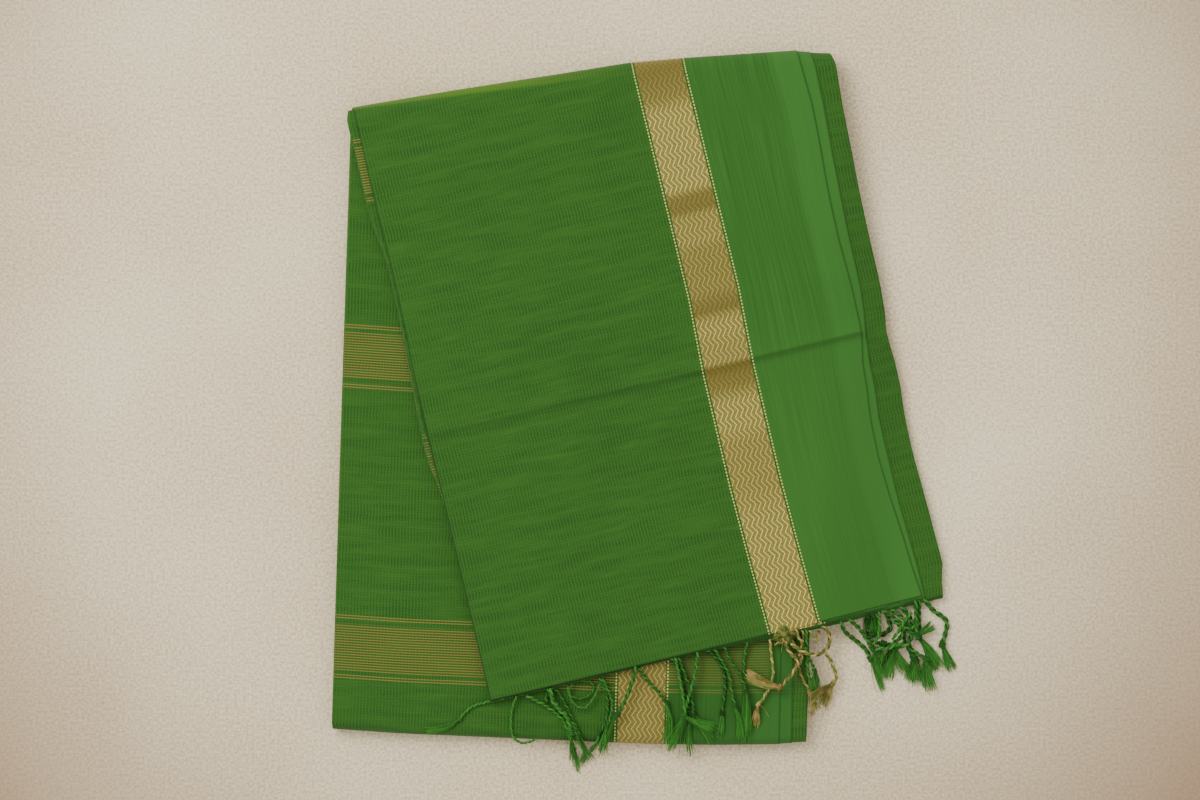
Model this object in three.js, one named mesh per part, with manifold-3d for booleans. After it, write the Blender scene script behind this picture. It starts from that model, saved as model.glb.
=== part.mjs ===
// Folded cotton sari with a tasselled end.
// One long strip of cloth is folded in half across its width, and in half again, so that both
// selvedges lie on top at the right, over a fold. The strip then lies in three runs: the upper and the
// lower run of a pad, and a flap that comes over a slanted top fold and lies on the pad, turned to the
// right. Twisted tassels hang from the flap's cut end. Each modelled layer stands for five real ones.
// Millimetres, +Z up, seen from above with +Y away from the tassels.
import * as THREE from 'three';
import { mergeVertices } from 'three/addons/utils/BufferGeometryUtils.js';
import Module from 'manifold-3d';

// Cloth sizes
const SHEET = 1.1;
const GAP = 0.45;
const LAYERS = 4;
const PITCH = SHEET + GAP;
const RUN_THICKNESS = LAYERS * SHEET + (LAYERS - 1) * GAP;
const PAD_TOP = 2 * RUN_THICKNESS + GAP;
const FLAP_BOTTOM = PAD_TOP + GAP;
const BOTTOM_FOLD_RADIUS = PAD_TOP / 2;
const TOP_FOLD_RADIUS = (FLAP_BOTTOM + RUN_THICKNESS) / 2;

// Folded width, and where the free selvedges lie, measured from the left folds
const WIDTH = 292.5;
const UPPER_SELVEDGE = 274.5;
const LOWER_SELVEDGE = 281.5;

// Lower pad: its lower left corner is the drawing's zero point
const PAD_TURN = THREE.MathUtils.degToRad(-1.7);
const PAD_LEFT_LENGTH = 384.5;

// Bottom fold: it bulges past the straight line between its corners
const BOTTOM_FOLD_BOW = [
  { across: 0, bulge: 0 },
  { across: 41, bulge: 1.6 },
  { across: 134, bulge: 2.8 },
  { across: 196, bulge: 3.6 },
  { across: 237, bulge: 2.9 },
  { across: 274, bulge: 1.4 },
  { across: 292, bulge: 0 },
];

// Top fold: a slanted line, bowed upwards, then stepping down at the right folds
const TOP_FOLD_TURN = THREE.MathUtils.degToRad(7.36);
const TOP_FOLD_BOW = [
  { across: 0, rise: 0 },
  { across: 64, rise: 2.6 },
  { across: 128, rise: 4.3 },
  { across: 173, rise: 5.6 },
  { across: 207, rise: 4.3 },
  { across: 240, rise: 2.2 },
  { across: 277, rise: 0 },
  { across: 285, rise: -1.8 },
  { across: 297, rise: -3.8 },
];

// Flap: its cut end runs up to the right from the lower left corner
const FLAP_CORNER = new THREE.Vector2(97, 18.5);
const FLAP_END_TURN = THREE.MathUtils.degToRad(13.4);
const CREASE_UP = 165.5;
const CREASE_HEIGHT = 1.3;
const CREASE_REACH = 9;
const RUMPLE = 0.5;
const RUMPLE_LENGTH = 61;

// The flap sags to the floor past the pad's right edge
const SAG_START = 2;
const SAG_LENGTH = 58;

// Edges of the flap, from its cut end up: how far each stands out to the right of its plain place.
// The left fold slopes from the top layer's edge, upperFold, to the bottom layer's, lowerFold.
const FLAP_EDGES = [
  { up: 0, upperFold: 0, lowerFold: 0.5, upperSelvedge: 0.2, lowerSelvedge: -5.3, rightFold: -5 },
  { up: 8, upperFold: 0.2, lowerFold: 0.5, upperSelvedge: -0.4, lowerSelvedge: -5.2, rightFold: -3.2 },
  { up: 18, upperFold: 0.3, lowerFold: 0.5, upperSelvedge: -1.4, lowerSelvedge: -5.3, rightFold: -0.3 },
  { up: 42, upperFold: 0.4, lowerFold: 0.5, upperSelvedge: -2.7, lowerSelvedge: -6.2, rightFold: -0.8 },
  { up: 68, upperFold: 0.5, lowerFold: 0.5, upperSelvedge: -4.9, lowerSelvedge: -7.2, rightFold: -1.4 },
  { up: 94, upperFold: 0.5, lowerFold: 0.5, upperSelvedge: -6.2, lowerSelvedge: -7.2, rightFold: -2.2 },
  { up: 118, upperFold: 0.5, lowerFold: 0.5, upperSelvedge: -5.6, lowerSelvedge: -7.1, rightFold: -1.6 },
  { up: 138, upperFold: 0.2, lowerFold: -1.8, upperSelvedge: -3.4, lowerSelvedge: -5.2, rightFold: 0.2 },
  { up: 156, upperFold: 0, lowerFold: -3.6, upperSelvedge: -2.2, lowerSelvedge: -4.8, rightFold: 0.3 },
  { up: 165.5, upperFold: -0.2, lowerFold: -3.3, upperSelvedge: -0.4, lowerSelvedge: -3.8, rightFold: -0.3 },
  { up: 175, upperFold: -0.2, lowerFold: -2.6, upperSelvedge: 1.4, lowerSelvedge: -3.2, rightFold: -0.6 },
  { up: 206, upperFold: 0.8, lowerFold: -1.6, upperSelvedge: -0.4, lowerSelvedge: -2.8, rightFold: 0 },
  { up: 240, upperFold: 2.2, lowerFold: 0, upperSelvedge: -2, lowerSelvedge: -3, rightFold: 0.2 },
  { up: 275, upperFold: 2.6, lowerFold: 0.2, upperSelvedge: -0.4, lowerSelvedge: -1, rightFold: 1.6 },
  { up: 300, upperFold: 1.6, lowerFold: -3.2, upperSelvedge: 1.6, lowerSelvedge: 1.4, rightFold: 2.4 },
  { up: 320, upperFold: 1, lowerFold: -3.9, upperSelvedge: 3, lowerSelvedge: 2, rightFold: 3 },
];
// Edges where the strip comes over the top fold, and of the pad's two runs at their ends
const PAD_EDGES = {
  flapTop: { upperFold: 0.4, lowerFold: -4, upperSelvedge: 1.5, lowerSelvedge: 2.4, rightFold: 5.4 },
  lowerTop: { upperFold: 0.6, lowerFold: -1.6, upperSelvedge: 0.5, lowerSelvedge: 0, rightFold: 3 },
  lowerBottom: { upperFold: -0.6, lowerFold: -1.4, upperSelvedge: 0.6, lowerSelvedge: 1, rightFold: -0.8 },
  upperBottom: { upperFold: -0.6, lowerFold: -1.4, upperSelvedge: 1, lowerSelvedge: 1.6, rightFold: 0 },
  upperMiddle: { upperFold: -1.2, lowerFold: -2, upperSelvedge: 0.4, lowerSelvedge: 0.5, rightFold: 0.6 },
  upperTop: { upperFold: 0.8, lowerFold: -0.4, upperSelvedge: 0, lowerSelvedge: -1, rightFold: 0.4 },
};

// How far each layer of the flap reaches past the top layer's cut end
const END_LAG = [0, 2.2, 1, 1];
// How far the hidden inner end stays short of the top fold
const INNER_END_INSET = 2;
// The left fold's slope dies out this far across
const SLOPE_REACH = 40;

// Fineness of the mesh
const INNER_STATIONS = [40, 85, 130, 165, 192, 212, 230, 246, 260];
const EDGE_STEPS = 4;
const FOLD_STEPS = 6;

// Tassels: a backing strip along the cut end, then cord, knot and brush
const STRIP_CLEAR = 0.4;
const STRIP_DEPTH = 2;
const STRIP_HEIGHT = 2.6;
const STRIP_STEPS = 6;
const STRIP_MIDDLE = Math.max(...END_LAG) + STRIP_CLEAR + STRIP_DEPTH / 2;
const SURFACE_CLEAR = 0.35;
// The pad's folds bulge no further than this past its plain outline
const FOLD_BULGE = 4;
const CORD = 2.4;
const CORD_STEPS = 5;
const KNOT = 4.6;
const KNOT_LENGTH = 5;
const KNOT_PROFILE = [
  { along: 0.2, size: KNOT },
  { along: 0.8, size: KNOT },
  { along: 1, size: CORD },
];
const BRUSH_START = 0.7 * KNOT_LENGTH;
const LOCK = 1.5;
const LOCK_TIP = 2.1;
const LOCKS = 3;
const LOCK_STEPS = 3;
const FALL_LENGTH = 22;
const OVER_EDGE_LENGTH = 20;

// Each tassel: where its root is along the cut end, how far its cord swings and sags to one side,
// where its knot and its brush's tip lie past the cut end, and how wide the brush fans
const FRINGES = [
  {
    name: 'fringe_left',
    from: 9,
    to: 163,
    colour: 0x347a24,
    tassels: [
      { root: 10, swing: 3, knotAcross: -17, knotDown: 7, tipAcross: -37, tipDown: 11, fan: 2 },
      { root: 16, swing: -3, knotAcross: 10, knotDown: 18, tipAcross: 17, tipDown: 31, fan: 2 },
      { root: 26, swing: 3, knotAcross: 38, knotDown: 26, tipAcross: 41, tipDown: 50, fan: 4 },
      { root: 37, swing: 4, knotAcross: 48, knotDown: 27, tipAcross: 52, tipDown: 52, fan: 4 },
      { root: 68, swing: 4, knotAcross: 63, knotDown: 30, tipAcross: 57, tipDown: 45, fan: 2.5 },
      { root: 84, swing: 2, knotAcross: 72, knotDown: 29, tipAcross: 67, tipDown: 46, fan: 3.5 },
      { root: 95, swing: 4, knotAcross: 104, knotDown: 27, tipAcross: 97, tipDown: 51, fan: 5 },
      { root: 111, swing: -2, knotAcross: 113, knotDown: 36, tipAcross: 108, tipDown: 63, fan: 5 },
      { root: 123, swing: -2, knotAcross: 123, knotDown: 36, tipAcross: 123, tipDown: 57, fan: 4 },
      { root: 137, swing: -2, knotAcross: 135, knotDown: 37, tipAcross: 134, tipDown: 57, fan: 3 },
      { root: 151, swing: -2, knotAcross: 147, knotDown: 40, tipAcross: 145, tipDown: 60, fan: 4 },
      { root: 163, swing: 2, knotAcross: 160, knotDown: 24, tipAcross: 157, tipDown: 39, fan: 3 },
    ],
  },
  {
    name: 'fringe_border',
    from: 174,
    to: 209,
    colour: 0x9a8046,
    tassels: [
      { root: 180, swing: 2, knotAcross: 166, knotDown: 37, tipAcross: 157, tipDown: 56, fan: 4 },
      { root: 188, swing: -3, knotAcross: 179, knotDown: 30, tipAcross: 172, tipDown: 46, fan: 3 },
      { root: 196, swing: -3, knotAcross: 190, knotDown: 40, tipAcross: 190, tipDown: 58, fan: 4 },
      { root: 208, swing: 3, knotAcross: 211, knotDown: 37, tipAcross: 204, tipDown: 54, fan: 4.5 },
    ],
  },
  {
    name: 'fringe_right',
    from: 215,
    to: 271,
    colour: 0x347a24,
    tassels: [
      { root: 226, swing: 2, knotAcross: 232, knotDown: 26, tipAcross: 232, tipDown: 49, fan: 4 },
      { root: 234, swing: 2, knotAcross: 244, knotDown: 23, tipAcross: 244, tipDown: 45, fan: 3 },
      { root: 245, swing: 2, knotAcross: 254, knotDown: 27, tipAcross: 253, tipDown: 51, fan: 3 },
      { root: 253, swing: 3, knotAcross: 263, knotDown: 30, tipAcross: 263, tipDown: 54, fan: 3 },
      { root: 262, swing: 3, knotAcross: 271, knotDown: 24, tipAcross: 273, tipDown: 46, fan: 2.5 },
      { root: 271, swing: 3, knotAcross: 280, knotDown: 31, tipAcross: 283, tipDown: 48, fan: 3 },
    ],
  },
];

const CLOTH_FINISH = { colour: 0x3d7a28, roughness: 0.85 };
const FRINGE_ROUGHNESS = 0.8;
// Corners nearer to each other than this are one corner
const MERGE_DISTANCE = 1e-4;

// A value read from a table's named column, smoothly between its rows
function between(rows, key, at, column) {
  if (at <= rows[0][key]) return rows[0][column];
  for (let i = 1; i < rows.length; i += 1) {
    if (at <= rows[i][key]) {
      const part = (at - rows[i - 1][key]) / (rows[i][key] - rows[i - 1][key]);
      return THREE.MathUtils.lerp(rows[i - 1][column], rows[i][column], part);
    }
  }
  return rows[rows.length - 1][column];
}

const turned = (angle) => new THREE.Vector2(Math.cos(angle), Math.sin(angle));
const leftOf = (direction) => new THREE.Vector2(-direction.y, direction.x);

// Lines that the columns of the strip run between, as points in plan for a distance across
const padAcross = turned(PAD_TURN);
const padUp = leftOf(padAcross);
const topAcross = turned(TOP_FOLD_TURN);
const topOut = leftOf(topAcross);
const flapAcross = turned(FLAP_END_TURN);
const topCorner = padUp.clone().multiplyScalar(PAD_LEFT_LENGTH);

function bottomLine(across) {
  const up = BOTTOM_FOLD_RADIUS - between(BOTTOM_FOLD_BOW, 'across', across, 'bulge');
  return padAcross.clone().multiplyScalar(across).addScaledVector(padUp, up);
}

function topLine(across) {
  const rise = between(TOP_FOLD_BOW, 'across', across, 'rise') - TOP_FOLD_RADIUS;
  return topCorner.clone().addScaledVector(topAcross, across).addScaledVector(topOut, rise);
}

function endLine(across) {
  return FLAP_CORNER.clone().addScaledVector(flapAcross, across);
}

// How far the flap has sagged below the pad's top at a place in plan
function sagAt(place) {
  const past = place.dot(padAcross) - WIDTH;
  return FLAP_BOTTOM * THREE.MathUtils.smoothstep(past, SAG_START, SAG_START + SAG_LENGTH);
}

// The crease across the flap and the cloth's slight rumpling, both above where it rests
function liftAt(up, across) {
  const near = Math.max(0, 1 - Math.abs(up - CREASE_UP) / CREASE_REACH);
  const wave = Math.sin((up * 2 * Math.PI) / RUMPLE_LENGTH) * Math.sin((across * Math.PI) / WIDTH);
  const fade = THREE.MathUtils.smoothstep(up, 0, RUMPLE_LENGTH);
  return CREASE_HEIGHT * near * near + (RUMPLE * fade * (1 + wave)) / 2;
}

// The folded section's middle line, from the upper selvedge to the lower one. The top layer turns
// down round the left fold into the bottom layer, that one turns up at the right into the third, and
// the third turns up inside the left fold into the second. Each point has its distance across, its
// depth below the strip's face, the way it is thickened, and its place among the layers.
function sectionPoints(edges) {
  const rightFold = WIDTH + edges.rightFold;
  const upperEnd = UPPER_SELVEDGE + edges.upperSelvedge;
  const lowerEnd = LOWER_SELVEDGE + edges.lowerSelvedge;
  const leftTurn = RUN_THICKNESS / 2;
  const rightTurn = rightFold - (PITCH + SHEET) / 2;
  const toRight = [...INNER_STATIONS, upperEnd, lowerEnd].sort((a, b) => a - b);
  const walks = [
    { layer: 0, stations: [leftTurn, ...INNER_STATIONS, upperEnd].reverse() },
    { layer: 3, stations: [leftTurn, ...toRight, rightTurn] },
    { layer: 2, stations: [leftTurn, ...toRight, rightTurn].reverse() },
    { layer: 1, stations: [leftTurn, ...toRight].filter((across) => across <= lowerEnd) },
  ];
  const points = [];
  walks.forEach(({ layer, stations }, index) => {
    const depth = SHEET / 2 + layer * PITCH;
    const side = index % 2 ? 1 : -1;
    for (const across of stations) {
      points.push({ across, depth, sideAcross: 0, sideDepth: side, layer });
    }
    if (index === walks.length - 1) return;
    const nextLayer = walks[index + 1].layer;
    const drop = ((nextLayer - layer) * PITCH) / 2;
    for (let step = 1; step < EDGE_STEPS; step += 1) {
      const angle = (step / EDGE_STEPS) * Math.PI;
      points.push({
        across: stations[stations.length - 1] + side * Math.abs(drop) * Math.sin(angle),
        depth: depth + drop - drop * Math.cos(angle),
        sideAcross: Math.sign(drop) * -Math.sin(angle),
        sideDepth: side * Math.cos(angle),
        layer: layer + ((nextLayer - layer) * step) / EDGE_STEPS,
      });
    }
  });
  return points;
}

// The section's two faces, each as distances across and depths, with the left fold's slope
function sectionRing(edges) {
  const points = sectionPoints(edges);
  const face = (sign) => points.map((point) => {
    const across = point.across + (sign * point.sideAcross * SHEET) / 2;
    const depth = point.depth + (sign * point.sideDepth * SHEET) / 2;
    const slope = THREE.MathUtils.lerp(edges.upperFold, edges.lowerFold, depth / RUN_THICKNESS);
    const fade = Math.max(0, 1 - across / SLOPE_REACH);
    return { across: across + slope * fade, depth, layer: point.layer };
  });
  return face(1).concat(face(-1).reverse());
}

const EDGE_COLUMNS = Object.keys(PAD_EDGES.upperMiddle);

const mixEdges = (a, b, part) => Object.fromEntries(
  EDGE_COLUMNS.map((key) => [key, THREE.MathUtils.lerp(a[key], b[key], part)]),
);

// Rings of the sheet along its way: each is the section's points in space
function flatRing(edges, planPoint, height) {
  return sectionRing(edges).map((point) => {
    const place = planPoint(point);
    return new THREE.Vector3(place.x, place.y, height(point, place));
  });
}

// A half-round fold about a line in plan, outermost at the strip's face. It turns from the run above
// to the run below where turn is 1, and from the run below to the run above where it is -1.
function foldRings(fold) {
  const rings = [];
  for (let step = 0; step <= FOLD_STEPS; step += 1) {
    const part = step / FOLD_STEPS;
    const angle = part * Math.PI;
    rings.push(flatRing(
      mixEdges(fold.edgesBefore, fold.edgesAfter, part),
      (point) => {
        const reach = (fold.radius - point.depth) * Math.sin(angle);
        return fold.line(point.across).addScaledVector(fold.outward, reach);
      },
      (point) => fold.radius + fold.turn * (fold.radius - point.depth) * Math.cos(angle),
    ));
  }
  return rings;
}

// A place on the flap, measured up its columns from the cut end
function flapPlace(across, up) {
  const foot = endLine(across);
  const head = topLine(across);
  return foot.addScaledVector(head.sub(foot).normalize(), up);
}

function clothRings() {
  const upperRun = (point) => PAD_TOP - point.depth;
  const innerEnd = (point) => topLine(point.across).addScaledVector(padUp, -INNER_END_INSET);
  const halfway = (point) => bottomLine(point.across).lerp(topLine(point.across), 0.5);
  const rings = [
    flatRing(PAD_EDGES.upperTop, innerEnd, upperRun),
    flatRing(PAD_EDGES.upperMiddle, halfway, upperRun),
  ];
  rings.push(...foldRings({
    line: bottomLine,
    outward: padUp.clone().negate(),
    radius: BOTTOM_FOLD_RADIUS,
    turn: 1,
    edgesBefore: PAD_EDGES.upperBottom,
    edgesAfter: PAD_EDGES.lowerBottom,
  }));
  rings.push(...foldRings({
    line: topLine,
    outward: topOut,
    radius: TOP_FOLD_RADIUS,
    turn: -1,
    edgesBefore: PAD_EDGES.lowerTop,
    edgesAfter: PAD_EDGES.flapTop,
  }));
  for (const row of [...FLAP_EDGES].reverse()) {
    rings.push(flatRing(
      row,
      (point) => {
        const low = Math.floor(point.layer);
        const high = Math.min(low + 1, LAYERS - 1);
        const lag = THREE.MathUtils.lerp(END_LAG[low], END_LAG[high], point.layer - low);
        return flapPlace(point.across, row.up === 0 ? -lag : row.up);
      },
      (point, place) => FLAP_BOTTOM + RUN_THICKNESS - point.depth - sagAt(place)
        + liftAt(row.up, point.across),
    ));
  }
  return rings;
}

// A closed body through rings of like points, its ends closed by the triangles given. A four-cornered
// face is split along one diagonal, or along the other one where its place in the ring is flipped.
function bodyFromRings(rings, ends, flipped = []) {
  const count = rings[0].length;
  const positions = rings.flat().flatMap((point) => [point.x, point.y, point.z]);
  const faces = [];
  for (let row = 0; row + 1 < rings.length; row += 1) {
    for (let i = 0; i < count; i += 1) {
      const next = (i + 1) % count;
      const a = row * count + i;
      const b = row * count + next;
      if (flipped[i]) faces.push(a, b, a + count, b, b + count, a + count);
      else faces.push(a, b, b + count, a, b + count, a + count);
    }
  }
  const last = (rings.length - 1) * count;
  for (const [a, b, c] of ends) {
    faces.push(a, c, b, last + a, last + b, last + c);
  }
  const geometry = new THREE.BufferGeometry();
  geometry.setAttribute('position', new THREE.Float32BufferAttribute(positions, 3));
  geometry.setIndex(faces);
  return geometry;
}

// Triangles that close a folded section's end, strip by strip
function sectionEnds(count) {
  const triangles = [];
  for (let i = 0; i + 1 < count / 2; i += 1) {
    const opposite = count - 1 - i;
    triangles.push([i, i + 1, opposite - 1], [i, opposite - 1, opposite]);
  }
  return triangles;
}

// Both faces of every layer are split along like diagonals, so that they stay a sheet apart
function clothGeometry() {
  const rings = clothRings();
  const section = sectionRing(PAD_EDGES.upperMiddle);
  const flipped = section.map((point, i) => section[(i + 1) % section.length].across < point.across);
  return bodyFromRings(rings, sectionEnds(section.length), flipped);
}

// What lies below a place in plan: the pad's top, or the floor past its edges
function groundAt(place) {
  const pastRight = place.dot(padAcross) - WIDTH;
  const pastBottom = -place.dot(padUp);
  const past = Math.max(pastRight, pastBottom) - FOLD_BULGE;
  const fall = THREE.MathUtils.smoothstep(past, 0, OVER_EDGE_LENGTH);
  return (PAD_TOP + SURFACE_CLEAR) * (1 - fall);
}

// A bar of four sides through points in plan, level underneath where it lies
function fourSided(stations) {
  const rings = stations.map((station, index) => {
    const before = stations[Math.max(0, index - 1)].place;
    const after = stations[Math.min(stations.length - 1, index + 1)].place;
    const side = leftOf(after.clone().sub(before).normalize()).multiplyScalar(station.width / 2);
    const corner = (sign, height) => new THREE.Vector3(
      station.place.x + sign * side.x, station.place.y + sign * side.y, height,
    );
    const top = station.bottom + station.height;
    return [corner(1, station.bottom), corner(1, top), corner(-1, top), corner(-1, station.bottom)];
  });
  return bodyFromRings(rings, [[0, 1, 2], [0, 2, 3]]);
}

const pastEnd = (across, down) => endLine(across).addScaledVector(leftOf(flapAcross), -down);

function rootHeight(place) {
  return FLAP_BOTTOM - sagAt(place);
}

// The strip that the tassels grow from, just past the cut end
function stripGeometry(fringe) {
  const stations = [];
  for (let step = 0; step <= STRIP_STEPS; step += 1) {
    const across = THREE.MathUtils.lerp(fringe.from, fringe.to, step / STRIP_STEPS);
    const place = pastEnd(across, STRIP_MIDDLE);
    stations.push({ place, bottom: rootHeight(place), width: STRIP_DEPTH, height: STRIP_HEIGHT });
  }
  return fourSided(stations);
}

// Where a cord lies: it falls from the strip's height to what is below it
function lieAt(place, rootBottom, travelled) {
  const fall = THREE.MathUtils.smoothstep(travelled, 0, FALL_LENGTH);
  return THREE.MathUtils.lerp(Math.max(rootBottom, groundAt(place)), groundAt(place), fall);
}

function tasselGeometries(tassel) {
  const root = pastEnd(tassel.root, STRIP_MIDDLE);
  const knot = pastEnd(tassel.knotAcross, tassel.knotDown);
  const tip = pastEnd(tassel.tipAcross, tassel.tipDown);
  const rootBottom = rootHeight(root);
  const run = knot.clone().sub(root);
  const swing = leftOf(run.clone().normalize()).multiplyScalar(tassel.swing);
  const stations = [];
  for (let step = 0; step <= CORD_STEPS; step += 1) {
    const part = step / CORD_STEPS;
    const place = root.clone().addScaledVector(run, part);
    place.addScaledVector(swing, Math.sin(part * Math.PI));
    const bottom = lieAt(place, rootBottom, part * run.length());
    stations.push({ place, bottom, width: CORD, height: CORD });
  }
  const onward = tip.clone().sub(knot).normalize();
  for (const { along, size } of KNOT_PROFILE) {
    const place = knot.clone().addScaledVector(onward, along * KNOT_LENGTH);
    const bottom = lieAt(place, rootBottom, FALL_LENGTH);
    stations.push({ place, bottom, width: size, height: (CORD + size) / 2 });
  }
  const bodies = [fourSided(stations)];
  const sideways = leftOf(onward);
  const brushStart = knot.clone().addScaledVector(onward, BRUSH_START);
  for (let lock = 0; lock < LOCKS; lock += 1) {
    const spread = ((2 * lock) / (LOCKS - 1) - 1) * tassel.fan;
    const lockTip = tip.clone().addScaledVector(sideways, spread);
    const offset = (Math.sign(spread) * CORD) / 2;
    const lockStations = [];
    for (let step = 0; step <= LOCK_STEPS; step += 1) {
      const part = step / LOCK_STEPS;
      const place = brushStart.clone().lerp(lockTip, part);
      place.addScaledVector(sideways, offset * Math.sin(part * Math.PI));
      const width = THREE.MathUtils.lerp(LOCK, LOCK_TIP, part);
      const bottom = lieAt(place, rootBottom, FALL_LENGTH);
      lockStations.push({ place, bottom, width, height: LOCK });
    }
    bodies.push(fourSided(lockStations));
  }
  return bodies;
}

// Joining of overlapping bodies into one
const wasm = await Module();
wasm.setup();

function toSolid(geometry) {
  const plain = new THREE.BufferGeometry();
  plain.setAttribute('position', geometry.getAttribute('position'));
  plain.setIndex(geometry.getIndex());
  const merged = mergeVertices(plain, MERGE_DISTANCE);
  return new wasm.Manifold(new wasm.Mesh({
    numProp: 3,
    vertProperties: new Float32Array(merged.getAttribute('position').array),
    triVerts: new Uint32Array(merged.getIndex().array),
  }));
}

function fringeGeometry(fringe) {
  let solid = toSolid(stripGeometry(fringe));
  for (const tassel of fringe.tassels) {
    for (const body of tasselGeometries(tassel)) solid = solid.add(toSolid(body));
  }
  const mesh = solid.getMesh();
  const geometry = new THREE.BufferGeometry();
  geometry.setAttribute('position', new THREE.Float32BufferAttribute(mesh.vertProperties, 3));
  geometry.setIndex(new THREE.Uint32BufferAttribute(mesh.triVerts, 1));
  return geometry;
}

// The object: the cloth and its three groups of tassels
const sari = new THREE.Group();

function addPiece(name, geometry, colour, roughness) {
  const material = new THREE.MeshStandardMaterial({ color: colour, roughness, metalness: 0 });
  const mesh = new THREE.Mesh(geometry, material);
  mesh.name = name;
  sari.add(mesh);
}

addPiece('sari_cloth', clothGeometry(), CLOTH_FINISH.colour, CLOTH_FINISH.roughness);
for (const fringe of FRINGES) {
  addPiece(fringe.name, fringeGeometry(fringe), fringe.colour, FRINGE_ROUGHNESS);
}

// The origin is at the middle of what the object covers, on the surface it rests on
const box = new THREE.Box3().setFromObject(sari);
const middle = box.getCenter(new THREE.Vector3());
sari.position.set(-middle.x, -middle.y, -box.min.z);

export default sari;
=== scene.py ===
import math

import bpy
import numpy as np
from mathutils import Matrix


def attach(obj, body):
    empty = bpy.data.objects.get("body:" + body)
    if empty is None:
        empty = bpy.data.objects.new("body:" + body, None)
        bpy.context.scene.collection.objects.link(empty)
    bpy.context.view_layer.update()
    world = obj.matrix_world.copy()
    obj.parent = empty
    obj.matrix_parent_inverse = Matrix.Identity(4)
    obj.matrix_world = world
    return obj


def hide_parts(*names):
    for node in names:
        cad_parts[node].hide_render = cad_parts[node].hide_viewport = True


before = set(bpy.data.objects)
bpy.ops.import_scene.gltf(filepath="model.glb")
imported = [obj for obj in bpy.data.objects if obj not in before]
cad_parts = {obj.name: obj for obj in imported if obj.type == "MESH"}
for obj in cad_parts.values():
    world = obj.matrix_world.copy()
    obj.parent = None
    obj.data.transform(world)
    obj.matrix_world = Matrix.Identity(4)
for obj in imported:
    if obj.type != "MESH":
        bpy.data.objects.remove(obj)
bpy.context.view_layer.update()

scene = bpy.context.scene
MM_PER_M = 1000

# Camera: it looks straight down from 2.4 m, a long lens as in the photo. The folded bundle and its
# tassels fill the middle of the picture, with the pale floor showing all round.
CAMERA_HEIGHT = 2.4
VIEW_CENTRE = (-0.0284, 0.0049)
VIEW_WIDTH = 0.7404
SENSOR_WIDTH = 36
CLOTH_HEIGHT = 0.012

bpy.ops.object.select_all(action="DESELECT")
bpy.ops.object.camera_add(location=(*VIEW_CENTRE, CAMERA_HEIGHT), rotation=(0, 0, 0))
camera = bpy.context.object
camera.data.sensor_width = SENSOR_WIDTH
camera.data.lens = SENSOR_WIDTH * (CAMERA_HEIGHT - CLOTH_HEIGHT) / VIEW_WIDTH
camera.data.clip_end = 20
scene.camera = camera

# Sari cloth: one length of fine cotton, 1.14 by 5.1 m, folded in half across its width and in half
# again, so that both selvedges lie at the right. The strip then lies back and forth in ten passes
# that make the pad, and three that make the flap. Sizes in millimetres on the part's own plan.
PLAN_ORIGIN = (-193.11, -198.67)
PAD_TOP = 11.95
FLAP_BOTTOM = 12.4
FLAP_THICKNESS = 5.75
PAD_PASSES = 10
PAD_LAYER = PAD_TOP / (4 * PAD_PASSES)
FLAP_LAYER = FLAP_THICKNESS / 12
WIDTH = 292.5
UPPER_SELVEDGE = 274.5
LOWER_SELVEDGE = 281.5
CLOTH_WIDTH = UPPER_SELVEDGE + 2 * WIDTH + LOWER_SELVEDGE
PAD_LEFT_LENGTH = 384.5
BOTTOM_FOLD_INSET = PAD_TOP / 2
TOP_FOLD_INSET = (FLAP_BOTTOM + FLAP_THICKNESS) / 2
FLAP_CORNER = np.array([97.0, 18.5])
SAG_START = 2
SAG_LENGTH = 58

# How far the two folds bulge past straight lines: distance across, then bulge
BOTTOM_BOW = np.array([
    (0, 0), (41, 1.6), (134, 2.8), (196, 3.6), (237, 2.9), (274, 1.4), (292, 0),
]).T
TOP_BOW = np.array([
    (0, 0), (64, 2.6), (128, 4.3), (173, 5.6), (207, 4.3), (240, 2.2), (277, 0), (285, -1.8),
    (297, -3.8),
]).T

FLAP_LENGTH = 355
# How far each edge of the flap stands out to the right of its plain place, from the cut end up: the
# top pass's left fold, the left folds under it, the upper selvedge, the lower one, the right fold
FLAP_EDGES = np.array([
    (0, 0, 0.5, 0.2, -5.3, -5),
    (8, 0.2, 0.5, -0.4, -5.2, -3.2),
    (18, 0.3, 0.5, -1.4, -5.3, -0.3),
    (42, 0.4, 0.6, -2.7, -6.2, -0.8),
    (68, 0.5, 0.6, -4.9, -7.2, -1.4),
    (94, 0.5, 0.6, -6.2, -7.2, -2.2),
    (118, 0.5, 0.5, -5.6, -7.1, -1.6),
    (129, 0.4, 0, -4.6, -6.2, -0.8),
    (138, 0.2, -2.9, -3.4, -5.2, 0.2),
    (156, 0, -3.6, -2.2, -4.8, 0.3),
    (165.5, -0.2, -3.4, -0.4, -3.8, -0.3),
    (175, -0.2, -2.9, 1.4, -3.2, -0.6),
    (188, 0.2, -2, 1.8, -1, 1.4),
    (206, 0.8, -1.5, 2, 0.6, 2.6),
    (240, 2.2, 0.1, 1, 0.8, 2.8),
    (265, 2.5, 0.4, 1.4, 1.6, 3.2),
    (278, 2.5, -0.6, 2, 2.2, 3.6),
    (294, 1.8, -3, 3, 2.8, 4.4),
    (308, 1.5, -3.4, 3.8, 3.6, 4.8),
    (328, 1.6, -3, 4.6, 4.6, 5.6),
    (355, 2.4, -3, 3.6, 5.4, 7.4),
]).T
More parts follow.
